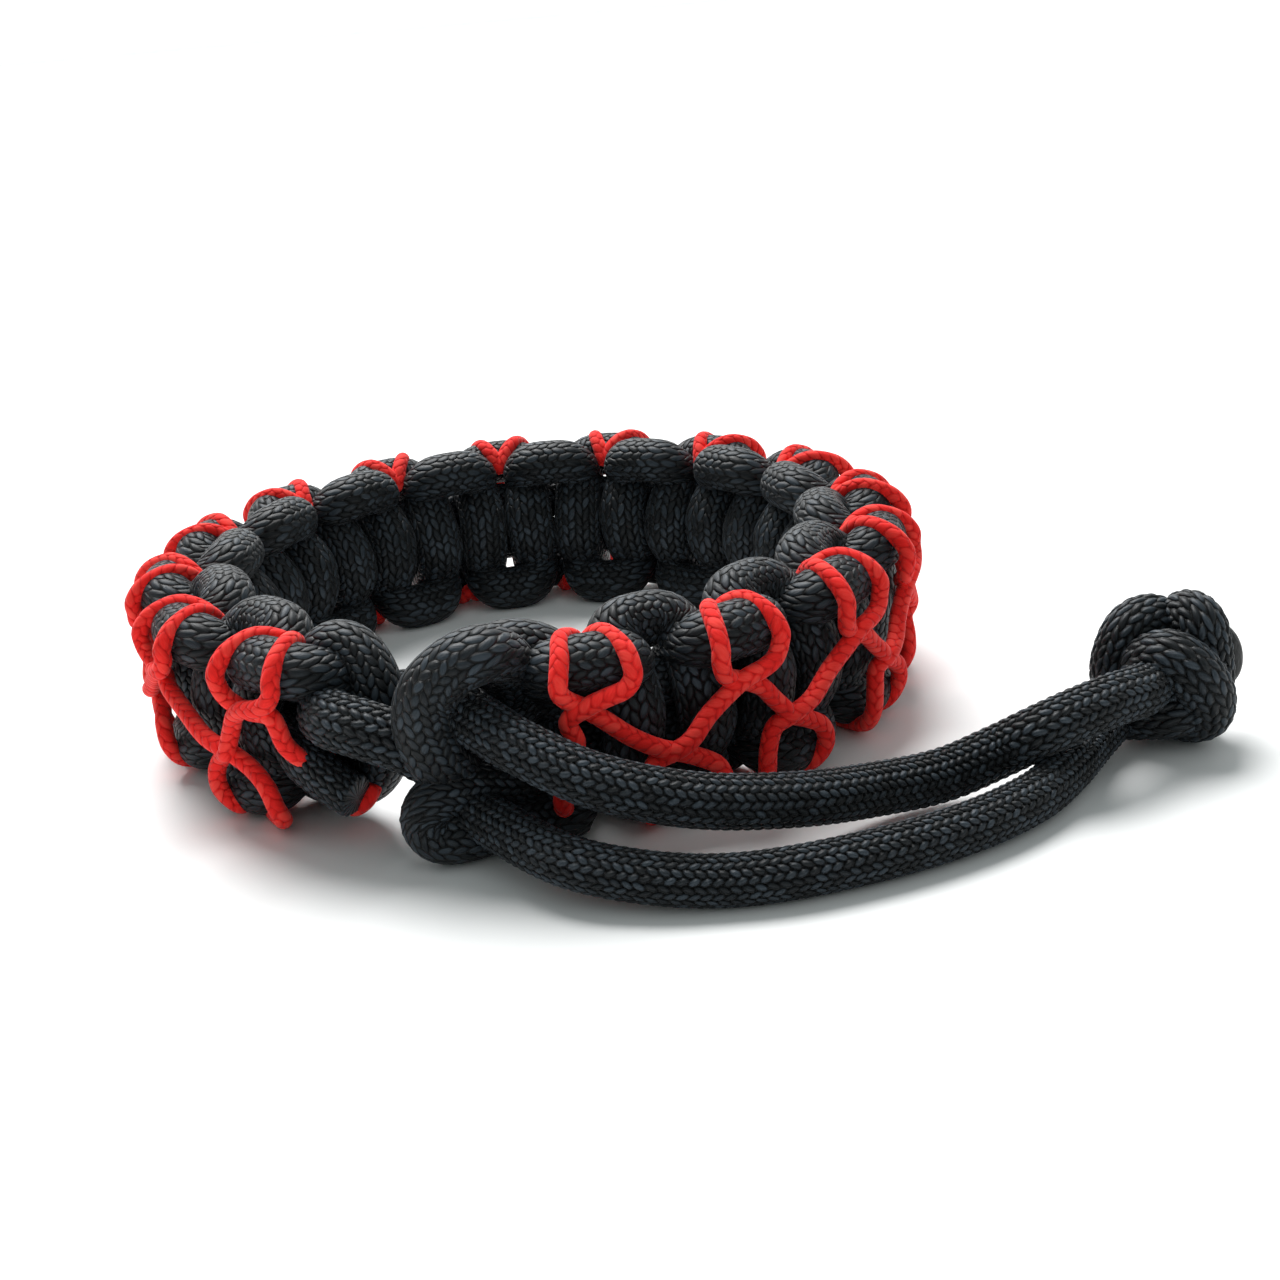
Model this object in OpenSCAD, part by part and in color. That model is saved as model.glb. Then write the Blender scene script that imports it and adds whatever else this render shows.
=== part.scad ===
// Adjustable bracelet of knotted cord, standing on its edge.
// The band is a row of square knots round two core cords. Its right end turns back in two
// shoulders, its left end is a loop, and a drawcord hooked in the loop runs out through the
// shoulders as two tails that a stopper knot holds together.

/* [Band] */
// Width of the loop across its centre line, left to right
loop_width = 54.4; // [50:0.2:64]
// Depth of the loop across its centre line, front to back
loop_depth = 56.2; // [50:0.2:64]
// Height of the band, edge to edge
band_height = 16; // [15:0.5:18]
// Thickness of the band over its cross wraps
band_thickness = 8.8; // [8:0.2:10]
// How much wider the loop is at its top than at its bottom edge
band_flare = 1.2; // [0:0.2:2]
// How far the edge bights stand out over the hollows between them
edge_swell = 1.3; // [0.4:0.1:1.8]
// How far the cross wraps stand out over the grooves between them
wrap_swell = 0.6; // [0.2:0.1:1]
// Number of square knots behind the first one
knot_count = 13; // [12:1:13]

/* [Cords] */
// Diameter of the cord where it is pulled tight in the closure
closure_cord_d = 3.4; // [3:0.1:3.6]
// Diameter of the upper tail
upper_tail_d = 3.8; // [3.4:0.1:4]
// Diameter of the lower tail, flattened a little on the surface
lower_tail_d = 3.4; // [3.2:0.1:3.8]
// Gap between two cords that press on each other
press_gap = 0.12; // [0.1:0.01:0.2]
// Length of the cord end that is cut off at the band's left end
cut_end_length = 4.4; // [3:0.2:5]

/* [Stopper knot] */
// Diameter of each turn of the stopper knot
knot_turn_d = 4; // [3.6:0.1:4.2]
// Distance of the knot's turns from its middle
knot_turn_reach = 3.7; // [3.6:0.1:4]
// Diameter of the melted cord end beside the knot
melted_d = 4; // [3:0.1:5]
// How far the melted cord end stands out of the knot
melted_length = 0.7; // [0.5:0.1:2]

/* [Hidden] */

cord_sides = 10;
round_sides = 32;

// Angles round the loop in degrees, 0 at the right and -90 at the front
first_knot_deg = -68.7;
knot_pitch_deg = 22.1;
loose_knots_from = 11;
loose_knot_deg = 1.8;
band_start_knot = -0.75;
band_end_knot = knot_count + 0.5;
sections_per_knot = 8;
section_points = 20;
section_roundness = 0.35;
bight_depth = 1.6;
crest_angle = 4 * 360 / section_points;

half_height = band_height / 2;
half_thickness = band_thickness / 2;

// Box of the object without its tails, centred on the origin
lower_exit_out = 7;
back_reach = loop_depth / 2 + half_thickness;
front_reach = loop_depth / 2 + lower_exit_out + closure_cord_d / 4;
centre_y = (front_reach - back_reach) / 2;

function knot_deg(k) =
    first_knot_deg + k * knot_pitch_deg + max(0, k - loose_knots_from) * loose_knot_deg;
function signed_power(x, p) = sign(x) * pow(abs(x), p);
function loop_x(n) = loop_width / 2 + n;
function loop_y(n) = loop_depth / 2 + n;
function on_loop(deg, n, z) =
    let (lean = band_flare * (z / band_height - 0.5))
    [loop_x(n + lean) * cos(deg), loop_y(n + lean) * sin(deg), z];

// How far the band's edge stands from its middle, with a bight outside or inside the loop there
function edge_rise(u, outer_bight, inner_bight) =
    let (outer = min(1, max(0, 0.5 + bight_depth * cos(u))))
    pow(abs(sin(u)), section_roundness) * (half_height - edge_swell)
        + abs(sin(u)) * edge_swell * (outer * outer_bight + (1 - outer) * inner_bight);

// One corner of the band's section: k is the place in knots, u the angle round the section
function band_corner(k, u) =
    let (
        above = sin(u) >= 0 ? 1 : 0,
        outer_bight = cos(360 * (k - 0.5 * above)),
        inner_bight = cos(360 * (k - 0.5 * (1 - above))),
        rise = edge_rise(u, outer_bight, inner_bight) * half_height / edge_rise(crest_angle, 1, -1),
        wrap = wrap_swell * (1 - abs(sin(u))) * cos(720 * (k - 0.25)),
        n = (half_thickness - wrap_swell + wrap) * signed_power(cos(u), section_roundness)
    )
    on_loop(knot_deg(k), n, half_height + sign(sin(u)) * rise);

// Rings of points joined to a closed solid, with a flat face on each end or as one endless tube
module skin(rings, endless = false) {
    per_ring = len(rings[0]);
    last = len(rings) - 1;
    ends = endless ? [] : [
        [for (j = [per_ring - 1:-1:0]) j],
        [for (j = [0:per_ring - 1]) last * per_ring + j]
    ];
    polyhedron(
        points = [for (ring = rings) each ring],
        faces = concat(ends,
            [for (i = [0:endless ? last : last - 1], j = [0:per_ring - 1])
                let (k = (i + 1) % len(rings), m = (j + 1) % per_ring)
                [i * per_ring + j, i * per_ring + m, k * per_ring + m, k * per_ring + j]]),
        convexity = 8
    );
}

// Smooth points through a route
function route_point(route, i) = route[min(max(i, 0), len(route) - 1)];
function between(p0, p1, p2, p3, t) =
    0.5 * (2 * p1 + (p2 - p0) * t + (2 * p0 - 5 * p1 + 4 * p2 - p3) * t * t
        + (3 * p1 - p0 - 3 * p2 + p3) * t * t * t);
function smooth_route(route, steps) = concat(
    [for (i = [0:len(route) - 2], s = [0:steps - 1])
        between(route_point(route, i - 1), route[i], route[i + 1], route_point(route, i + 2),
            s / steps)],
    [route[len(route) - 1]]
);
function unit(v) = v / norm(v);
function heading(path, i) = unit(path[min(i + 1, len(path) - 1)] - path[max(i - 1, 0)]);
function headings(path, first, last) = [for (i = [0:len(path) - 1])
    i == 0 && first != undef ? first : i == len(path) - 1 && last != undef ? last : heading(path, i)];
function side_of(h, before) = unit(before - h * (before * h));
function sides_along(turns, i = 0, before = [0, 0, 1], found = []) =
    i == len(turns) ? found
    : let (side = side_of(turns[i], before))
        sides_along(turns, i + 1, side, concat(found, [side]));

// A round cord of diameter d swept along a route, with the directions that its ends face
module cord(route, d, first = undef, last = undef, steps = 2) {
    path = smooth_route(route, steps);
    turns = headings(path, first, last);
    sides = sides_along(turns);
    skin([for (i = [0:len(path) - 1])
        let (a = sides[i], b = cross(turns[i], a))
        [for (j = [0:cord_sides - 1])
            let (turn = -360 * j / cord_sides)
            path[i] + d / 2 * (a * cos(turn) + b * sin(turn))]]);
}

// Routes round the closure as [angle, outwards from the loop's centre line, share of the height]
function along_loop(route) = [for (p = route) on_loop(p[0], p[1], p[2] * band_height)];
face_gap_deg = 0.5;
start_deg = knot_deg(band_start_knot) - face_gap_deg;
end_deg = knot_deg(band_end_knot) - 360 + face_gap_deg;
upper_exit = on_loop(-95.5, 3.8, 0.61 * band_height);
lower_exit = on_loop(-95, lower_exit_out, 0.225 * band_height);
upper_exit_heading = unit([0.55, -0.8, -0.2]);
lower_exit_heading = unit([0.75, -0.65, -0.1]);
upper_shoulder_route = along_loop([
    [start_deg, -1.8, 0.87], [-89.5, -1.4, 0.885], [-94, 0.2, 0.87], [-98.5, 1.8, 0.8],
    [-102, 2.4, 0.68], [-102.8, 2.4, 0.56], [-100.5, 1.6, 0.47], [-96, 0.6, 0.5],
    [-91, 0, 0.57], [start_deg, -0.2, 0.62]
]);
lower_shoulder_route = along_loop([
    [start_deg, -0.2, 0.37], [-90, 0.2, 0.34], [-95, 1.6, 0.32], [-100, 3.4, 0.29],
    [-103.2, 4.2, 0.22], [-102.6, 5.2, 0.14], [-99, 5.4, 0.115], [-94.5, 4.2, 0.115],
    [-90, 2.8, 0.12], [start_deg, 2, 0.13]
]);
end_loop_route = along_loop([
    [end_deg, -1.6, 0.74], [-121.5, -1.8, 0.82], [-117.5, -1.8, 0.8], [-115, -1.8, 0.64],
    [-114.8, -1.8, 0.46], [-116.6, -1.8, 0.28], [-120.5, -1.8, 0.18], [end_deg, -1.6, 0.2]
]);
draw_link_route = concat([upper_exit], along_loop([
    [-98, 1.2, 0.65], [-101.5, -1.4, 0.66], [-106, -4, 0.64],
    [-111.5, -5.6, 0.6], [-117.3, -5.7, 0.58], [-121.2, -3.8, 0.58], [-121.4, -0.4, 0.59],
    [-117.2, 1.9, 0.59], [-112.5, 2.2, 0.54], [-107.5, 1.7, 0.44], [-103.5, 0, 0.34],
    [-100, -0.4, 0.21], [-96.5, 1.4, 0.16], [-94.8, 4.6, 0.22]
]), [lower_exit]);
cut_deg = cut_end_length / loop_x(2) * 180 / PI;
cut_end_route = along_loop([
    [end_deg, 2.4, 0.2], [end_deg + cut_deg / 2, 2.6, 0.18], [end_deg + cut_deg, 2.4, 0.16]
]);

// Stopper knot: its middle, and the sides where the tails and the melted end meet it
knot_reach = knot_turn_reach + knot_turn_d / 2;
knot_centre = [48.4, -21, knot_reach + 0.05];
knot_turn_tilts = [[8, 5, 0], [84, 0, 15], [5, 97, -10]];
knot_turn_pieces = 20;
core_sides = 12;
melted_side_deg = 28;
upper_tail_side = unit([-0.5, -0.86, 0]);
lower_tail_side = unit([-0.75, -0.3, -0.6]);
function knot_side(direction) = knot_centre + (knot_reach + press_gap) * direction;

// Routes of the tails as [x, y, z], from the closure to the knot
upper_tail_route = [
    upper_exit + 2 * press_gap * upper_exit_heading, [0.5, -35.2, 8.9], [5.5, -37.8, 7.3],
    [12, -38.2, 5.7], [19, -36.2, 4.2], [25, -32.8, 2.9], [29.8, -30.8, 2.6], [33.8, -30.2, 3.7],
    [36.9, -30.6, 5.2], [40, -29.6, 5.9], [43, -28, 6.1], knot_side(upper_tail_side)
];
lower_tail_route = [
    lower_exit + 2 * press_gap * lower_exit_heading, [2.4, -39.6, 3], [7.6, -41.9, 2.3],
    [12.9, -42.6, 1.8], [18.2, -42.3, 1.8], [25, -40.4, 1.8], [31, -37.6, 1.8], [35.8, -34, 1.8],
    [39, -30, 1.8], [41.4, -26.2, 1.8], knot_side(lower_tail_side)
];

// Direction along the loop at an angle, to the right where the loop is at the front
function rightwards(deg) = [-sin(deg), cos(deg), 0];

module in_place() {
    translate([0, centre_y, 0]) children();
}

module woven_band() {
    steps = round((band_end_knot - band_start_knot) * sections_per_knot);
    color([0.05, 0.05, 0.055])
        in_place()
            skin([for (i = [0:steps])
                let (k = band_start_knot + i / sections_per_knot)
                [for (j = [0:section_points - 1]) band_corner(k, 360 * j / section_points)]]);
}

module end_loop() {
    color([0.06, 0.06, 0.065])
        in_place()
            difference() {
                cord(end_loop_route, closure_cord_d, rightwards(end_deg), -rightwards(end_deg));
                draw_link_cord(2 * press_gap);
            }
}

module upper_shoulder_cord(swell = 0) {
    cord(upper_shoulder_route, closure_cord_d + swell, -rightwards(start_deg), rightwards(start_deg));
}

module upper_shoulder() {
    color([0.06, 0.06, 0.065])
        in_place()
            difference() {
                upper_shoulder_cord();
                draw_link_cord(2 * press_gap);
            }
}

module lower_shoulder() {
    color([0.06, 0.06, 0.065])
        in_place()
            difference() {
                cord(lower_shoulder_route, closure_cord_d, -rightwards(start_deg), rightwards(start_deg));
                draw_link_cord(2 * press_gap);
                upper_shoulder_cord(2 * press_gap);
            }
}

module draw_link_cord(swell = 0) {
    cord(draw_link_route, closure_cord_d + swell, -upper_exit_heading, lower_exit_heading);
}

module draw_link() {
    color([0.07, 0.07, 0.075]) in_place() draw_link_cord();
}

module cut_end() {
    color([0.06, 0.06, 0.065]) in_place() cord(cut_end_route, closure_cord_d, rightwards(end_deg));
}

module upper_tail() {
    color([0.08, 0.08, 0.085])
        in_place()
            cord(upper_tail_route, upper_tail_d, upper_exit_heading, -upper_tail_side);
}

module lower_tail() {
    color([0.08, 0.08, 0.085])
        in_place()
            cord(lower_tail_route, lower_tail_d, lower_exit_heading, -lower_tail_side);
}

// One closed turn of the knot
module knot_turn() {
    skin([for (i = [0:knot_turn_pieces - 1])
        let (deg = i * 360 / knot_turn_pieces)
        [for (j = [0:cord_sides - 1])
            let (turn = 360 * j / cord_sides, reach = knot_turn_reach + knot_turn_d / 2 * cos(turn))
            [reach * cos(deg), reach * sin(deg), knot_turn_d / 2 * sin(turn)]]], endless = true);
}

// Three turns of the two tails round each other, closed in the middle
module stopper_knot() {
    color([0.05, 0.05, 0.055])
        in_place()
            translate(knot_centre) {
                sphere(r = knot_turn_reach, $fn = core_sides);
                for (tilt = knot_turn_tilts)
                    rotate(tilt) knot_turn();
            }
}

module melted_end() {
    color([0.03, 0.03, 0.03])
        in_place()
            translate(knot_centre)
                rotate([0, 90, melted_side_deg])
                    translate([0, 0, knot_reach + press_gap])
                        cylinder(d = melted_d, h = melted_length, $fn = round_sides);
}

woven_band();
end_loop();
cut_end();
upper_shoulder();
lower_shoulder();
draw_link();
upper_tail();
lower_tail();
stopper_knot();
melted_end();
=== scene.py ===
import math

import bmesh
import bpy
import numpy as np
from mathutils import Matrix, Vector


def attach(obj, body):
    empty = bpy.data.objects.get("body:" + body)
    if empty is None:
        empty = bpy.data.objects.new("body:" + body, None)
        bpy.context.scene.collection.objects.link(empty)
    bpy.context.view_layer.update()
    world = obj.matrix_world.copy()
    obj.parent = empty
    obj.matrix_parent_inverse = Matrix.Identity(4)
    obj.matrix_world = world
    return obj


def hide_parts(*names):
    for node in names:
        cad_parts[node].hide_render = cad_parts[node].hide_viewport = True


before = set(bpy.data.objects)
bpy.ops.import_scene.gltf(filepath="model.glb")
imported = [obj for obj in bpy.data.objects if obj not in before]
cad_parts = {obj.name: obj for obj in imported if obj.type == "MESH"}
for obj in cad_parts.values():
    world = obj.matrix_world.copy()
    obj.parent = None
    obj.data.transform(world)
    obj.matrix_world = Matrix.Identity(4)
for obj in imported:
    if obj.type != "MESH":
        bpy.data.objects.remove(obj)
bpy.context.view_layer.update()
mm = 0.001

# The loop's own measures, in mm as in the part's source
loop = dict(
    halfWidth=27.2, halfDepth=28.1, shiftY=1.725, middle=8.0, height=16.0, flare=1.2,
    firstKnot=-68.7, knotPitch=22.1, looseFrom=11, looseKnot=1.8, lastKnot=13.5,
)


def knotDeg(k):
    k = np.asarray(k, float)
    loose = np.maximum(0, k - loop["looseFrom"]) * loop["looseKnot"]
    return loop["firstKnot"] + loop["knotPitch"] * k + loose


def onLoop(deg, out, z):
    deg, out, z = np.broadcast_arrays(*(np.asarray(value, float) for value in (deg, out, z)))
    lean = loop["flare"] * (z / loop["height"] - 0.5)
    turn = np.radians(deg)
    x = (loop["halfWidth"] + out + lean) * np.cos(turn)
    y = (loop["halfDepth"] + out + lean) * np.sin(turn) + loop["shiftY"]
    return np.stack([x, y, z], -1)


def onBand(rows):
    # rows of knot, height above the band's middle, distance out of its middle
    rows = np.asarray(rows, float)
    return onLoop(knotDeg(rows[:, 0]), rows[:, 2], rows[:, 1] + loop["middle"])


def alongLoop(rows):
    rows = np.asarray(rows, float)
    return onLoop(rows[:, 0], rows[:, 1], rows[:, 2] * loop["height"])


def smooth(rows, spacing, steps=10):
    # Rows of x, y, z and any more columns, made smooth, then evenly spaced
    rows = np.asarray(rows, float)
    padded = np.vstack([2 * rows[0] - rows[1], rows, 2 * rows[-1] - rows[-2]])
    t = np.linspace(0, 1, steps, endpoint=False)[:, None]
    parts = []
    for a, b, c, d in zip(padded, padded[1:], padded[2:], padded[3:]):
        parts.append(0.5 * (2 * b + (c - a) * t + (2 * a - 5 * b + 4 * c - d) * t**2
                            + (3 * b - a - 3 * c + d) * t**3))
    fine = np.vstack(parts + [rows[-1:]])
    along = np.concatenate([[0], np.cumsum(np.linalg.norm(np.diff(fine[:, :3], axis=0), axis=1))])
    marks = np.linspace(0, along[-1], max(4, round(along[-1] / spacing)) + 1)
    even = np.stack([np.interp(marks, along, column) for column in fine.T], -1)
    return even, marks


def unit(rows):
    return rows / np.maximum(np.linalg.norm(rows, axis=-1, keepdims=True), 1e-12)


def sidesOf(path, heading, facing):
    # Directions across the cord: towards facing, or carried along without twist
    if facing is not None:
        return unit(facing - heading * np.sum(facing * heading, -1, keepdims=True))
    side = np.array([0.0, 0.0, 1.0])
    sides = []
    for h in heading:
        side = side - h * side.dot(h)
        side = side / np.linalg.norm(side)
        sides.append(side)
    return np.array(sides)


def pickRelief(u, v, braid):
    # Plump picks lie in rows that lean both ways, and where they meet the highest shows
    around, along = u * braid["columns"], v / braid["pitch"]
    row = np.floor(around)
    lean = 1 - 2 * np.mod(row, 2)
    x = around - row - 0.5
    y = np.mod(along + 0.25 * lean + 0.5, 1) - 0.5
    crown = 0
    for nextRow in (0, 1):
        dx = x - nextRow * np.where(x < 0, -1, 1)
        near = np.mod(y + 0.5 * nextRow + 0.5, 1) - 0.5
        slant = lean * (1 - 2 * nextRow)
        for dy in (near, near - np.where(near < 0, -1, 1)):
            across = (dx + slant * dy) / braid["wide"]
            length = (dx - slant * dy) / 2 / braid["long"]
            crown = np.maximum(crown, 1 - across**2 - length**2)
    return (np.sqrt(crown) - 0.75) * braid["relief"]  # three quarters up is the cord's own surface


def tube(name, rows, look, facing=None, braid=None):
    # rows are x, y, z, half width and half thickness in mm
    path, along = smooth(rows, look["spacing"])
    centre = path[:, :3]
    heading = unit(np.gradient(centre, axis=0))
    thick = sidesOf(centre, heading, None if facing is None else facing(centre))
    wide = np.cross(thick, heading)
    sides, rings = look["sides"], len(path)
    ends = np.minimum(along / look["ends"][0], (along[-1] - along) / look["ends"][1])
    closing = np.sqrt(np.clip(1 - (1 - np.clip(ends, 0, 1)) ** 2, 0, 1))

    bm = bmesh.new()
    bm.loops.layers.uv.new("weave")
    bmesh.ops.create_grid(bm, x_segments=sides, y_segments=rings - 1, size=1, calc_uvs=True)
    mesh = bpy.data.meshes.new(name)
    bm.to_mesh(mesh)
    bm.free()

    flat = np.empty(len(mesh.vertices) * 3)
    mesh.vertices.foreach_get("co", flat)
    flat = flat.reshape(-1, 3)
    u = (flat[:, 0] + 1) / 2
    ring = np.rint((flat[:, 1] + 1) / 2 * (rings - 1)).astype(int)
    turn = 2 * np.pi * (np.rint(u * sides) % sides) / sides
    halfWide, halfThick = path[ring, 3], path[ring, 4]
    out = unit(wide[ring] * (np.cos(turn) / halfWide)[:, None]
               + thick[ring] * (np.sin(turn) / halfThick)[:, None])
    spots = (wide[ring] * (halfWide * np.cos(turn))[:, None]
             + thick[ring] * (halfThick * np.sin(turn))[:, None])
    if braid:
        spots += out * pickRelief(u, along[ring], braid)[:, None]
    spots = centre[ring] + spots * closing[ring][:, None]
    spots[:, 2] = np.maximum(spots[:, 2], 0)  # flattened where it rests
    mesh.vertices.foreach_set("co", (spots * mm).ravel())

    layer = mesh.uv_layers["weave"]
    uv = np.empty(len(layer.uv) * 2)
    layer.uv.foreach_get("vector", uv)
    uv = uv.reshape(-1, 2)
    uv[:, 1] *= along[-1]
    layer.uv.foreach_set("vector", uv.ravel())

    bm = bmesh.new()
    bm.from_mesh(mesh)
    bmesh.ops.remove_doubles(bm, verts=bm.verts, dist=1e-7)
    bmesh.ops.recalc_face_normals(bm, faces=bm.faces)
    bm.to_mesh(mesh)
    bm.free()
    mesh.shade_smooth()
    piece = bpy.data.objects.new(name, mesh)
    bpy.context.collection.objects.link(piece)
    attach(piece, "root")
    return piece, centre * mm, along[-1] * mm


def withSection(points, wide, thick):
    points = np.asarray(points, float)
    return np.column_stack([points, np.full(len(points), wide), np.full(len(points), thick)])


def away(points):
    # Out of the band's own middle line, seen along the loop
    points = np.asarray(points)
    turn = np.arctan2((points[:, 1] - loop["shiftY"]) / loop["halfDepth"],
                      points[:, 0] / loop["halfWidth"])
    return points - onLoop(np.degrees(turn), 0, loop["middle"])


# Materials
def mathNode(tree, operation, *values):
    node = tree.nodes.new("ShaderNodeMath")
    node.operation = operation
    for socket, value in zip(node.inputs, values):
        if isinstance(value, (int, float)):
            socket.default_value = value
        else:
            tree.links.new(value, socket)
    return node.outputs[0]


def braidMaterial(name, look):
    material = bpy.data.materials.new(name)
    material.use_nodes = True
    tree = material.node_tree
    shader = tree.nodes["Principled BSDF"]

    def calc(operation, *values):
        return mathNode(tree, operation, *values)

    def add(one, other):
        return calc("ADD", one, other)

    def multiply(one, other):
        return calc("MULTIPLY", one, other)

    def subtract(one, other):
        return calc("SUBTRACT", one, other)

    def wrapped(value):
        return add(calc("FRACT", add(value, 0.5)), -0.5)

    def beyond(value):
        # The same place seen from the next pick on its nearer side
        return subtract(value, calc("MULTIPLY_ADD", calc("LESS_THAN", value, 0.0), -2.0, 1.0))

    place = tree.nodes.new("ShaderNodeUVMap")
    place.uv_map = "weave"
    split = tree.nodes.new("ShaderNodeSeparateXYZ")
    tree.links.new(place.outputs[0], split.inputs[0])
    around = multiply(split.outputs[0], look["columns"])
    along = multiply(split.outputs[1], 1 / look["pitch"])
    row = calc("FLOOR", around)
    lean = calc("MULTIPLY_ADD", calc("FLOORED_MODULO", row, 2.0), -2.0, 1.0)
    x = subtract(subtract(around, row), 0.5)
    y = wrapped(calc("MULTIPLY_ADD", lean, 0.25, along))
    otherLean = multiply(lean, -1.0)
    otherX, otherY = beyond(x), wrapped(add(y, 0.5))

    crown = across = length = pickX = pickY = None
    for dx, dy, slant in ((x, y, lean), (x, beyond(y), lean),
                          (otherX, otherY, otherLean), (otherX, beyond(otherY), otherLean)):
        leaning = multiply(slant, dy)
        side = multiply(add(dx, leaning), 1 / look["wide"])
        reach = multiply(subtract(dx, leaning), 0.5 / look["long"])
        dome = subtract(1.0, add(multiply(side, side), multiply(reach, reach)))
        if crown is None:
            crown, across, length, pickX, pickY = dome, side, reach, dx, dy
            continue
        higher = calc("GREATER_THAN", dome, crown)

        def either(one, other):
            return calc("MULTIPLY_ADD", higher, subtract(one, other), other)

        across, length = either(side, across), either(reach, length)
        pickX, pickY = either(dx, pickX), either(dy, pickY)
        crown = calc("MAXIMUM", dome, crown)
    crown = calc("SQRT", calc("MAXIMUM", crown, 0.0))
    cell = tree.nodes.new("ShaderNodeCombineXYZ")
    tree.links.new(calc("ROUND", subtract(add(row, x), pickX)), cell.inputs[0])
    tree.links.new(calc("ROUND", multiply(subtract(along, pickY), 4.0)), cell.inputs[1])
    chance = tree.nodes.new("ShaderNodeTexWhiteNoise")
    tree.links.new(cell.outputs[0], chance.inputs["Vector"])

    # Single fibres lie along each pick
    lines = tree.nodes.new("ShaderNodeCombineXYZ")
    tree.links.new(multiply(across, look["fibresAcross"]), lines.inputs[0])
    tree.links.new(multiply(length, look["fibresAlong"]), lines.inputs[1])
    tree.links.new(multiply(chance.outputs["Value"], 40.0), lines.inputs[2])
    fibres = tree.nodes.new("ShaderNodeTexNoise")
    fibres.inputs["Scale"].default_value = 1.0
    fibres.inputs["Detail"].default_value = 2.0
    tree.links.new(lines.outputs[0], fibres.inputs["Vector"])

    # Picks are flat-topped. Painted highlight lies on their crowns and painted shade in the gaps
    # between them, and each pick differs a little in tone
    flatCrownAndPaintedLight = calc("MINIMUM", calc("MULTIPLY_ADD", crown, 3.0, -1.45), 1.0)
    own = multiply(chance.outputs["Value"], 0.6)
    shade = calc("MULTIPLY_ADD", fibres.outputs["Fac"], 0.7, own)
    ramp = tree.nodes.new("ShaderNodeValToRGB")
    stops = ramp.color_ramp.elements
    # Darkest stop: painted shade in the creases between picks. Lightest stop: painted highlight on
    # the pick crowns, varied by the fibres and each pick's own tone. Middle stop: the cord's own
    # colour
    stops[0].position, stops[0].color = 0.08, (*look["paintedCreaseShade"], 1)
    stops[1].position, stops[1].color = 0.95, (*look["paintedCrownHighlight"], 1)
    stops.new(0.5).color = (*look["base"], 1)
    tree.links.new(multiply(flatCrownAndPaintedLight, shade), ramp.inputs[0])
    tree.links.new(ramp.outputs[0], shader.inputs["Base Color"])

    rough = calc("MULTIPLY_ADD", fibres.outputs["Fac"], look["roughSpread"], look["rough"])
    tree.links.new(rough, shader.inputs["Roughness"])
    shader.inputs["Sheen Weight"].default_value = look["sheen"]
    shader.inputs["Sheen Roughness"].default_value = 0.4
    shader.inputs["Specular IOR Level"].default_value = look["specular"]

    bump = tree.nodes.new("ShaderNodeBump")
    bump.inputs["Strength"].default_value = look["strength"]
    bump.inputs["Distance"].default_value = look["depth"] * mm
    rounded = calc("MULTIPLY_ADD", flatCrownAndPaintedLight, 0.4, crown)
    height = calc("MULTIPLY_ADD", fibres.outputs["Fac"], look["fibreHeight"], rounded)
    tree.links.new(height, bump.inputs["Height"])
    tree.links.new(bump.outputs[0], shader.inputs["Normal"])
    return material


weave = dict(columns=20, pitch=0.755, wide=0.7, long=0.58)  # the black cords' picks
cordBraid = dict(weave, relief=0.32)
# The darkest braid colour is painted shade in the creases between picks, and the lightest is a
# painted highlight on their crowns
blackLook = dict(
    weave, paintedCreaseShade=(0.0006, 0.0007, 0.0008),
    base=(0.0048, 0.0071, 0.0096), paintedCrownHighlight=(0.034, 0.046, 0.059), rough=0.38, roughSpread=0.25,
    sheen=0.03, specular=0.28, strength=1.0, depth=0.24, fibresAlong=1.6, fibresAcross=7.0,
    fibreHeight=0.12,
)
# Here too the darkest colour is painted shade in the creases between picks, and the lightest is a
# painted highlight on their crowns
redLook = dict(
    columns=4, pitch=0.9, wide=0.7, long=0.64, paintedCreaseShade=(0.76, 0.010, 0.008),
    base=(0.95, 0.020, 0.016), paintedCrownHighlight=(1.0, 0.060, 0.045), rough=0.65, roughSpread=0.25,
    sheen=0.1, specular=0.2, strength=0.9, depth=0.14, fibresAlong=1.6, fibresAcross=5.0,
    fibreHeight=0.25,
)
blackCord = braidMaterial("blackCord", blackLook)
redCord = braidMaterial("redCord", redLook)


def meltedMaterial():
    material = bpy.data.materials.new("meltedCord")
    material.use_nodes = True
    tree = material.node_tree
    shader = tree.nodes["Principled BSDF"]
    place = tree.nodes.new("ShaderNodeTexCoord")
    noise = tree.nodes.new("ShaderNodeTexNoise")
    noise.inputs["Scale"].default_value = 900
    tree.links.new(place.outputs["Object"], noise.inputs["Vector"])
    ramp = tree.nodes.new("ShaderNodeValToRGB")
    ramp.color_ramp.elements[0].color = (0.001, 0.001, 0.001, 1)
    ramp.color_ramp.elements[1].color = (0.006, 0.007, 0.008, 1)
    shader.inputs["IOR"].default_value = 1.2
    tree.links.new(noise.outputs["Fac"], ramp.inputs[0])
    tree.links.new(ramp.outputs[0], shader.inputs["Base Color"])
    tree.links.new(mathNode(tree, "MULTIPLY_ADD", noise.outputs["Fac"], 0.3, 0.3),
                   shader.inputs["Roughness"])
    bump = tree.nodes.new("ShaderNodeBump")
    bump.inputs["Distance"].default_value = 0.15 * mm
    tree.links.new(noise.outputs["Fac"], bump.inputs["Height"])
    tree.links.new(bump.outputs[0], shader.inputs["Normal"])
    return material


meltedCord = meltedMaterial()


def finish(piece, material):
    piece.data.materials.append(material)


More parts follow.
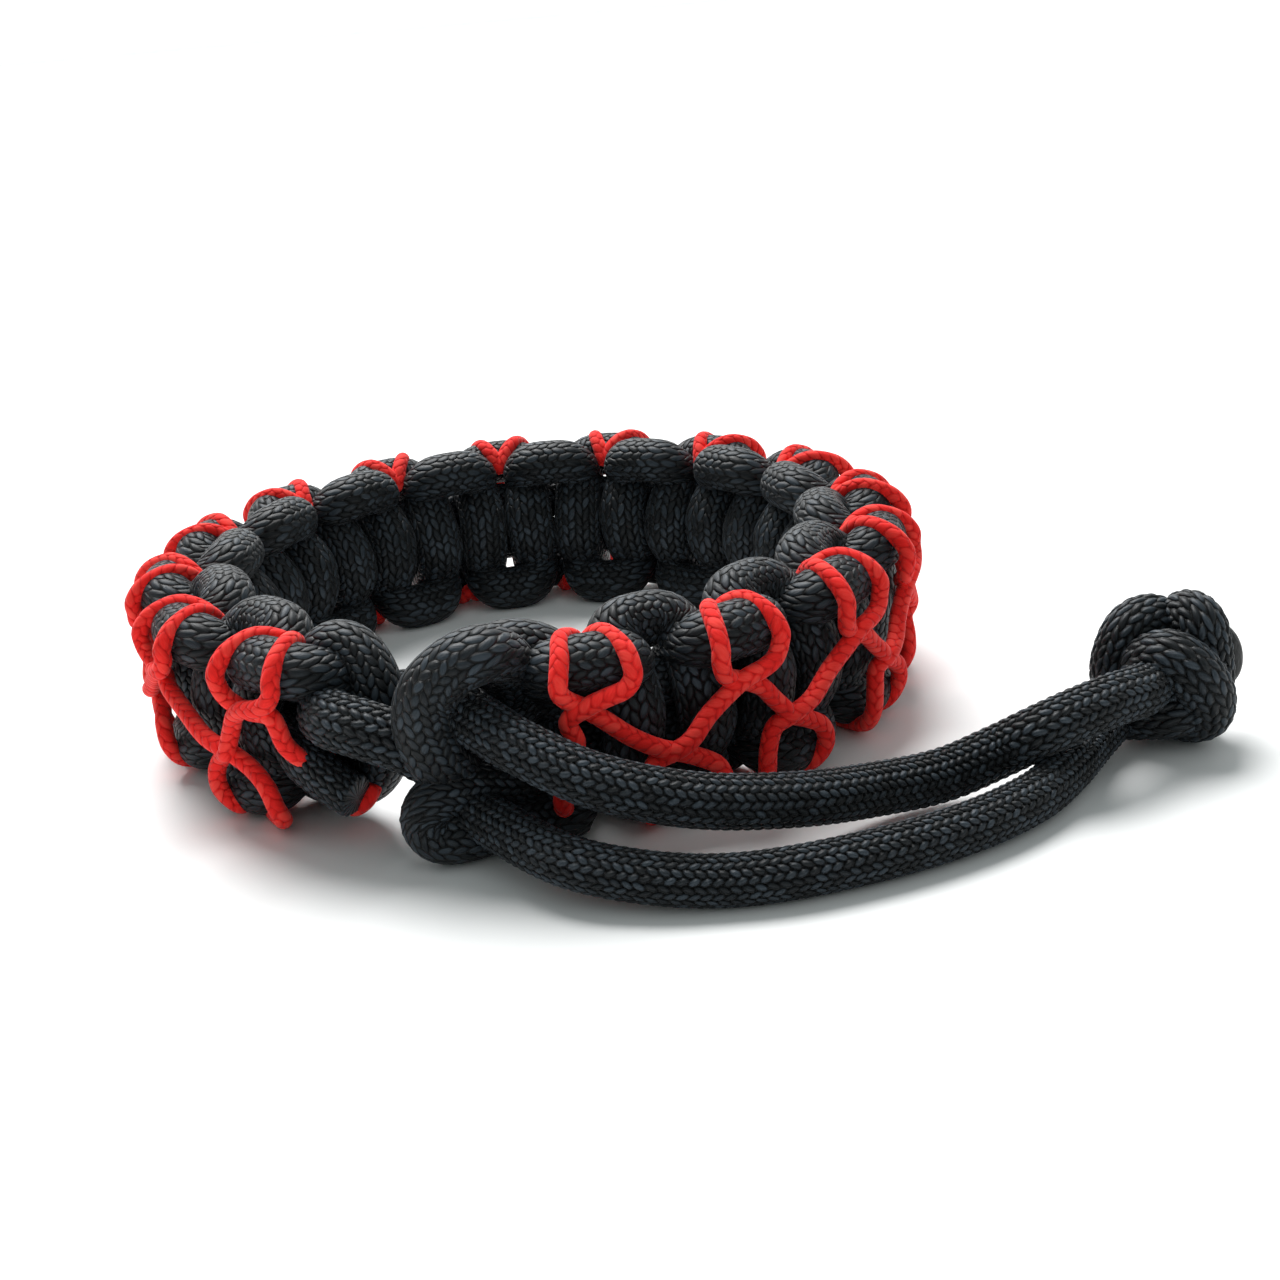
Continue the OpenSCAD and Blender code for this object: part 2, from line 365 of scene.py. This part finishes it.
# Camera
cameraLook = dict(spot=(9.08, -151.955, 58.31), pitch=19.47, roll=-5.157, focal=52.76)
camera = bpy.data.objects.new("camera", bpy.data.cameras.new("camera"))
camera.data.lens = cameraLook["focal"]
camera.data.sensor_width = 36
camera.data.clip_start = 0.01
camera.matrix_world = (
    Matrix.Translation(Vector(cameraLook["spot"]) * mm)
    @ Matrix.Rotation(math.radians(90 - cameraLook["pitch"]), 4, "X")
    @ Matrix.Rotation(math.radians(cameraLook["roll"]), 4, "Z")
)
bpy.context.collection.objects.link(camera)
bpy.context.scene.camera = camera
print("camera set")

# Tails, on the routes of their solids
tails = dict(
    upperD=3.8, lowerD=3.5, upperFirst=4.3, lowerFirst=3.7,
    upperExit=[(-101, 0.6, 0.65), (-99.4, 1.6, 0.67), (-97.2, 2.8, 0.675), (-94.6, 3.9, 0.64)],
    lowerExit=[(-99.2, 2.4, 0.24), (-97, 3.8, 0.22), (-94.6, 5.6, 0.21)],
    upper=[
        (0.5, -35.2, 9.3), (5.5, -37.8, 7.5), (12, -38.2, 5.7), (19, -36.2, 4.2),
        (25, -32.8, 2.9), (29.8, -30.8, 2.6), (33.8, -30.2, 3.7), (36.9, -30.6, 5.2),
        (40, -29.6, 5.9), (43, -28, 6.1), (45.48, -26.03, 5.75), (47.2, -22.9, 5.4),
    ],
    lower=[
        (2.4, -39.6, 3), (7.6, -41.9, 2.3), (12.9, -42.6, 1.8), (18.2, -42.3, 1.8),
        (25, -40.4, 1.8), (31, -37.6, 1.8), (35.8, -34, 1.8), (39, -30, 1.8),
        (41.4, -26.2, 1.8), (44.06, -22.74, 2.28), (45.8, -20.9, 3.2),
    ],
)
tailLook = dict(sides=96, spacing=0.13, ends=(0.4, 0.4))


def tail(name, node, leaving, route, first, diameter):
    points = np.vstack([alongLoop(leaving), np.array(route) + (0, loop["shiftY"], 0)])
    widths = np.interp(np.arange(len(points)), [0, 4], [first, diameter]) / 2
    piece, path, length = tube(name, np.column_stack([points, widths, widths]), tailLook,
                               braid=cordBraid)
    finish(piece, blackCord)
    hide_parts(node)
    return piece, path, length, points[0] * mm


upperTail = tail("upperTail", "upper_tail", tails["upperExit"], tails["upper"],
                 tails["upperFirst"], tails["upperD"])
lowerTail = tail("lowerTail", "lower_tail", tails["lowerExit"], tails["lower"],
                 tails["lowerFirst"], tails["lowerD"])
print("tails laid")

# Band strands as rows of knot, height and distance out, for half a knot
halfKnot = [
    (0.0, -5.9, -2.5), (0.12, -5.85, -2.4), (0.2, -5.6, -2.0), (0.25, -4.9, -1.2),
    (0.255, -4.0, 0.1), (0.245, -2.9, 1.6), (0.24, -1.3, 2.8), (0.25, 0.0, 2.95),
    (0.26, 1.3, 2.8), (0.255, 2.9, 1.6), (0.245, 4.0, 0.1), (0.25, 4.9, -1.2),
    (0.3, 5.6, -2.0), (0.38, 5.85, -2.4),
]
strandLook = dict(
    sides=36, spacing=0.34, ends=(0.4, 0.4), barWide=2.35, barThick=1.5, barReach=5.5,
    bightWide=2.2, bightThick=2.1, shoulderHalf=1.95, outerBars=0.86,
    outerHeight=1.03, innerHigh=0.92, innerLow=0.97, upperExtra=0.3,
    frontJoin=9, backJoin=4,  # first row of the bars that follows each shoulder
)


def bandStrand(first, last, side, startsLow):
    # side is 1 where the bars cross outside the loop, -1 inside
    rows = []
    half = 0
    while first + half * 0.5 <= last + 0.01:
        way = 1 if (half % 2 == 0) == startsLow else -1
        for q, w, n in halfKnot:
            k = first + 0.5 * half + q
            if side > 0 and abs(w) < 3:
                n = n * strandLook["outerBars"]
            inner = strandLook["innerHigh" if way * w > 0 else "innerLow"]
            w = w * (strandLook["outerHeight"] if side > 0 else inner)
            rows.append((k, w * way, n * side))
        half += 1
    rows = np.array([row for row in rows if row[0] <= last])
    points = onBand(rows)
    bar = np.clip(1 - np.abs(rows[:, 1]) / strandLook["barReach"], 0, 1)
    bar = bar * bar * (3 - 2 * bar)
    wide = strandLook["bightWide"] + (strandLook["barWide"] - strandLook["bightWide"]) * bar
    thick = strandLook["bightThick"] + (strandLook["barThick"] - strandLook["bightThick"]) * bar
    return np.column_stack([points, wide, thick])


shoulders = dict(
    upper=[
        (-80, -0.8, 0.62), (-84, -2.3, 0.78), (-88.5, -2.8, 0.84), (-93, -2.6, 0.84),
        (-97.5, -2.0, 0.76), (-99.8, -1.4, 0.58), (-99.8, 0.6, 0.42), (-99.6, 2.8, 0.41),
        (-100.8, 4.3, 0.5), (-101.6, 4.7, 0.65), (-100.7, 4.4, 0.8), (-97.4, 3.8, 0.91),
        (-94.2, 3.3, 0.95), (-92.2, 2.2, 0.93), (-90.9, 0.7, 0.84), (-90.2, -0.3, 0.69),
        (-89.3, -0.2, 0.54), (-87.4, 0.7, 0.42),
    ],
    lower=[
        (-80, 0.0, 0.37), (-84, 0.6, 0.33), (-90.9, 1.8, 0.29), (-96.9, 3.2, 0.31),
        (-101, 4.7, 0.3), (-102.6, 5.5, 0.22), (-101.3, 5.6, 0.14), (-98.4, 5.1, 0.125),
        (-94.2, 3.7, 0.125), (-88.7, 3.0, 0.125), (-84.2, 2.6, 0.13),
    ],
)
lastTurn = [
    (13.36, 5.35, 2.4), (13.52, 5.4, 2.6), (13.66, 5.2, 2.4), (13.74, 4.6, 1.3),
    (13.76, 3.2, -0.6), (13.74, 1.0, -2.4), (13.7, -1.4, -2.6), (13.64, -3.4, -1.0),
    (13.6, -3.6, 0.6),
]
shoulderHalf = strandLook["shoulderHalf"]
frontBars = bandStrand(-1.0, loop["lastKnot"] + 0.05, 1, False)
backBars = bandStrand(-1.0, loop["lastKnot"] - 0.2, -1, True)
upperHalf = shoulderHalf + strandLook["upperExtra"]
frontRows = np.vstack([
    withSection(alongLoop(shoulders["upper"]), upperHalf, shoulderHalf),
    frontBars[strandLook["frontJoin"]:],
])
backRows = np.vstack([
    withSection(alongLoop(shoulders["lower"]), shoulderHalf, shoulderHalf),
    backBars[strandLook["backJoin"]:],
    withSection(onBand(lastTurn), strandLook["bightWide"], strandLook["bightThick"]),
])
frontStrand, _, frontLength = tube("frontStrand", frontRows, strandLook, facing=away)
finish(frontStrand, blackCord)
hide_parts("woven_band", "upper_shoulder")
backStrand, _, backLength = tube("backStrand", backRows, strandLook, facing=away)
finish(backStrand, blackCord)
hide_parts("lower_shoulder")
print("strands", round(frontLength, 3), round(backLength, 3))

# Core cords and the loop that they make at the left end
endLoop = [
    (-129, -1.4, 0.68), (-124.8, -1.4, 0.78), (-120.6, -1.7, 0.86), (-116.9, -1.7, 0.84),
    (-113.8, -1.1, 0.75), (-112.2, -0.4, 0.62), (-112.2, -0.1, 0.44), (-115.0, -0.4, 0.29),
    (-119.5, -0.8, 0.2), (-125, -1.0, 0.2),
]
coreLook = dict(
    sides=48, spacing=0.3, ends=(0.4, 0.4), wide=1.35, thick=1.9, loopHalf=2.0,
    firstDeg=-94, lastDeg=226, upper=0.62, lower=0.38,
)


def coreRun(share, way):
    degs = np.linspace(coreLook["firstDeg"], coreLook["lastDeg"], 60)[::way]
    points = onLoop(degs, 0, share * loop["height"])
    return withSection(points, coreLook["wide"], coreLook["thick"])


loopRows = withSection(alongLoop(endLoop), coreLook["loopHalf"], coreLook["loopHalf"])
coreRows = np.vstack([coreRun(coreLook["upper"], 1), loopRows, coreRun(coreLook["lower"], -1)])
coreLoop, _, coreLength = tube("coreLoop", coreRows, coreLook, facing=None)
finish(coreLoop, blackCord)
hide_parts("end_loop")
print("core", round(coreLength, 3))

# Drawcord's fold, hooked through the end loop
linkRoute = [
    (-100.6, 0.9, 0.65), (-103, -0.6, 0.61), (-106.5, -2.6, 0.575), (-110, -3.6, 0.57),
    (-113.6, -3.3, 0.575), (-116.8, -1.8, 0.59), (-118.4, 0.3, 0.61), (-117.9, 2.3, 0.63),
    (-115.4, 3.5, 0.635), (-112.2, 3.9, 0.625), (-109, 4.0, 0.60), (-105.5, 3.7, 0.55),
    (-102.8, 2.8, 0.46), (-100.8, 1.4, 0.36), (-99.4, 0.6, 0.27), (-99.2, 2.4, 0.24),
]
linkHalf = dict(wide=2.15, thick=2.1)
linkRows = withSection(alongLoop(linkRoute), linkHalf["wide"], linkHalf["thick"])
drawLink, _, linkLength = tube("drawLink", linkRows, tailLook, braid=cordBraid)
finish(drawLink, blackCord)
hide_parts("draw_link")
print("link", round(linkLength, 3))

# Cut end of the back strand at the left
cutRoute = [(13.4, -0.6, 0.6), (13.6, -1.6, 2.8), (13.82, -2.9, 3.4), (14.0, -4.1, 3.5)]
cutLook = dict(sides=96, spacing=0.14, ends=(0.4, 0.25), wide=2.5, thick=1.6)
cutRows = withSection(onBand(cutRoute), cutLook["wide"], cutLook["thick"])
cutEnd, _, _ = tube("cutEnd", cutRows, cutLook, facing=away, braid=cordBraid)
finish(cutEnd, blackCord)
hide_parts("cut_end")

# Red lacing, one strand that winds round each outer bight above and below
lacingLook = dict(
    sides=16, spacing=0.22, ends=(0.3, 0.3), d=1.38, knots=13,
    outside=3, innerSlip=0.4,  # rows nearer the middle than outside slip less
)
lacingUpper = [
    (0.31, 1.9, 4.95), (0.41, 2.7, 5.2), (0.51, 3.0, 5.3), (0.60, 3.5, 5.3),
    (0.65, 4.4, 5.15), (0.66, 5.4, 5.05), (0.645, 6.6, 3.9), (0.61, 7.25, 1.9),
    (0.55, 6.7, 0.4), (0.48, 5.4, -0.5), (0.42, 6.7, 0.4), (0.33, 7.25, 1.9),
    (0.27, 6.6, 3.9), (0.245, 5.4, 5.05), (0.24, 4.3, 5.15), (0.28, 3.1, 4.9),
    (0.40, 2.3, 4.5), (0.53, 1.4, 4.75),
]
lacingLower = [
    (0.64, 0.2, 4.85), (0.74, -0.9, 5.1), (0.84, -1.8, 4.75), (0.97, -2.6, 4.7),
    (1.09, -3.6, 5.05), (1.13, -5.2, 5.05), (1.09, -6.7, 4.2), (1.03, -7.3, 2.4),
    (0.98, -7.2, 0.7), (0.92, -6.3, -0.4), (0.85, -7.2, 0.7), (0.78, -7.3, 2.4),
    (0.68, -6.7, 4.2), (0.63, -5.2, 5.05), (0.64, -3.6, 5.05), (0.71, -2.2, 4.75),
    (0.82, -1.5, 5.25), (0.96, -0.9, 5.2), (1.12, 0.5, 4.9),
]
lacingFirst = [
    (-0.70, -5.6, 0.6), (-0.72, -5.4, 3.0), (-0.75, -4.4, 4.7), (-0.73, -2.6, 5.0),
    (-0.68, -0.8, 5.0), (-0.64, 0.6, 5.05),
]
lacingLast = [
    (13.6, 2.4, 4.9), (13.67, 0.4, 5.05), (13.73, -0.8, 4.5), (13.73, -1.6, 2.8),
    (13.7, -2.0, 1.2),
]
slips = dict(upper={-1: 0.05}, lower={-1: 0.11, 0: -0.08, 12: 0.36})
lifts = {-1: 0.7}  # mm that a crossing above is drawn up


def slipped(rows, m, slip, lift=0):
    # The crossings slide with the loop and the slanting runs take up the difference
    share = np.interp(np.arange(len(rows)), [-1, 2, len(rows) - 3, len(rows)], [0, 1, 1, 0])
    moved = []
    for (k, w, n), part in zip(rows, share):
        slide = slip * part * (1 if n > lacingLook["outside"] else lacingLook["innerSlip"])
        moved.append((m + k + slide, w + lift * part * min(max(2.5 - w / 2, 0), 1), n))
    return moved


lacingRows = list(lacingFirst)
for m in range(-1, lacingLook["knots"] + 1):
    lacingRows += slipped(lacingUpper, m, slips["upper"].get(m, 0), lifts.get(m, 0))
    if m < lacingLook["knots"]:
        lacingRows += slipped(lacingLower, m, slips["lower"].get(m, 0))
lacingRows = np.array(lacingRows[:-1] + lacingLast)
lacingPoints = onBand(lacingRows)
half = lacingLook["d"] / 2
redLacing, _, lacingLength = tube("redLacing", withSection(lacingPoints, half, half), lacingLook)
finish(redLacing, redCord)
tipPoints = onBand([(13.72, -6.4, 0.6), (13.86, -5.9, 1.6), (13.97, -4.9, 1.8), (14.0, -3.9, 1.0)])
lacingTip, _, _ = tube("lacingTip", withSection(tipPoints, half, half), lacingLook)
finish(lacingTip, redCord)
print("lacing", round(lacingLength, 3))

# Stopper knot: turns as right, up and towards the viewer, from the knot's middle
knot = dict(
    middle=(48.4, -19.275, 5.75), half=2.0, frontHalf=2.2,
    turns=[
        [(-1.6, -3.0, -2.0), (-3.0, -2.2, -0.8), (-3.3, -0.6, 0.4), (-3.0, 1.0, 0.8),
         (-2.2, 2.6, 0.7), (-0.9, 3.3, -0.3), (-0.1, 2.7, -1.8), (0.4, 0.6, -3.0),
         (-0.4, -1.8, -3.0)],
        [(0.9, 1.0, -2.6), (1.3, 2.8, -1.6), (1.9, 3.6, -0.2), (2.8, 2.8, 0.9),
         (3.2, 0.6, 0.8), (3.2, -1.6, 0.0), (2.0, -3.0, -1.4), (0.0, -2.6, -2.8),
         (0.2, -0.6, -3.2)],
        [(-1.0, -1.6, 0.2), (-1.0, -0.3, 2.0), (0.0, 0.3, 3.1), (1.1, 0.1, 3.6),
         (2.3, -0.9, 3.4), (3.1, -2.3, 2.4), (2.9, -3.6, 0.8), (1.3, -3.6, -0.6),
         (-0.2, -3.0, -1.0)],
        [(-2.6, -3.4, 0.4), (-1.0, -3.7, 1.6), (1.0, -3.5, 2.0), (2.6, -2.4, 0.6),
         (1.6, 0.0, -1.0), (-1.0, 0.6, 0.4)],
    ],
)
toViewer = Vector((-0.266, -0.897, 0.355)).normalized()
rightOf = Vector((0.996, -0.030, -0.085))
rightOf = (rightOf - toViewer * toViewer.dot(rightOf)).normalized()
upOf = toViewer.cross(rightOf)
knotAxes = np.array([rightOf, upOf, toViewer])
knotLook = dict(sides=80, spacing=0.18, ends=(0.4, 0.4))
knotPieces = []
for number, turns in enumerate(knot["turns"]):
    points = np.array(turns + turns[:2]) @ knotAxes + np.array(knot["middle"])
    half = knot["frontHalf"] if number == 2 else knot["half"]
    piece, _, _ = tube(f"knotTurn{number}", withSection(points, half, half),
                       knotLook, braid=cordBraid)
    knotPieces.append(piece)
bpy.ops.object.select_all(action="DESELECT")
for piece in knotPieces:
    piece.select_set(True)
bpy.context.view_layer.objects.active = knotPieces[0]
bpy.ops.object.join()
stopperKnot = knotPieces[0]
stopperKnot.name = "stopperKnot"
finish(stopperKnot, blackCord)
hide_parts("stopper_knot")
print("knot tied")

# Melted end beside the knot
meltedLook = dict(spot=(4.35, 0.7, -0.8), facing=(0.8, 0.1, 0.6), radius=2.4, depth=1.0)
bm = bmesh.new()
bmesh.ops.create_uvsphere(bm, u_segments=48, v_segments=24, radius=meltedLook["radius"] * mm)
bmesh.ops.scale(bm, vec=(1, 1, meltedLook["depth"] / meltedLook["radius"]), verts=bm.verts)
facing = Vector(np.array(meltedLook["facing"]) @ knotAxes)
bmesh.ops.rotate(bm, verts=bm.verts, matrix=facing.to_track_quat("Z", "Y").to_matrix())
spot = np.array(meltedLook["spot"]) @ knotAxes + np.array(knot["middle"])
bmesh.ops.translate(bm, verts=bm.verts, vec=Vector(spot) * mm)
mesh = bpy.data.meshes.new("meltedEnd")
bm.to_mesh(mesh)
bm.free()
mesh.shade_smooth()
meltedEnd = bpy.data.objects.new("meltedEnd", mesh)
bpy.context.collection.objects.link(meltedEnd)
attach(meltedEnd, "root")
finish(meltedEnd, meltedCord)
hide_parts("melted_end")

# Floor, backdrop and light
stageLook = dict(
    floor=8.0, wallHeight=1.4, wallAt=3.9, wallGlow=1.25, world=0.36, seenWorld=1.2,
    sky=(0.9, 1.0, 1.0, 1),
    lamps=[
        dict(name="key", tilt=(-36, -12, 0), angle=42, strength=4.5),
        dict(name="fill", tilt=(30, 25, 0), angle=70, strength=0.2),
    ],
)


def stagePiece(name, colour, glow):
    material = bpy.data.materials.new(name)
    material.use_nodes = True
    shader = material.node_tree.nodes["Principled BSDF"]
    shader.inputs["Base Color"].default_value = colour
    shader.inputs["Roughness"].default_value = 0.6
    shader.inputs["Emission Color"].default_value = (1, 1, 1, 1)
    shader.inputs["Emission Strength"].default_value = glow
    piece = bpy.context.object
    piece.name = name
    piece.data.materials.append(material)


bpy.ops.mesh.primitive_plane_add(size=stageLook["floor"])
stagePiece("floor", (0.9, 0.9, 0.895, 1), 0.0)
bpy.ops.mesh.primitive_plane_add(
    size=1, location=(0, stageLook["wallAt"], stageLook["wallHeight"] / 2),
    rotation=(math.pi / 2, 0, 0))
bpy.context.object.scale = (stageLook["floor"], stageLook["wallHeight"], 1)
stagePiece("backdrop", (0.9, 0.9, 0.9, 1), stageLook["wallGlow"])

world = bpy.data.worlds.new("studio")
world.use_nodes = True
background = world.node_tree.nodes["Background"]
background.inputs[0].default_value = stageLook["sky"]
rays = world.node_tree.nodes.new("ShaderNodeLightPath")
# White where the camera looks past the floor
seen = world.node_tree.nodes.new("ShaderNodeMapRange")
seen.inputs["To Min"].default_value = stageLook["world"]
seen.inputs["To Max"].default_value = stageLook["seenWorld"]
world.node_tree.links.new(rays.outputs["Is Camera Ray"], seen.inputs["Value"])
world.node_tree.links.new(seen.outputs["Result"], background.inputs[1])
bpy.context.scene.world = world

for lamp in stageLook["lamps"]:
    data = bpy.data.lights.new(lamp["name"], "SUN")
    data.energy = lamp["strength"]
    data.angle = math.radians(lamp["angle"])
    lightObject = bpy.data.objects.new(lamp["name"], data)
    lightObject.rotation_euler = [math.radians(turn) for turn in lamp["tilt"]]
    bpy.context.collection.objects.link(lightObject)
bpy.context.scene.view_settings.view_transform = "Standard"
print("lights set")
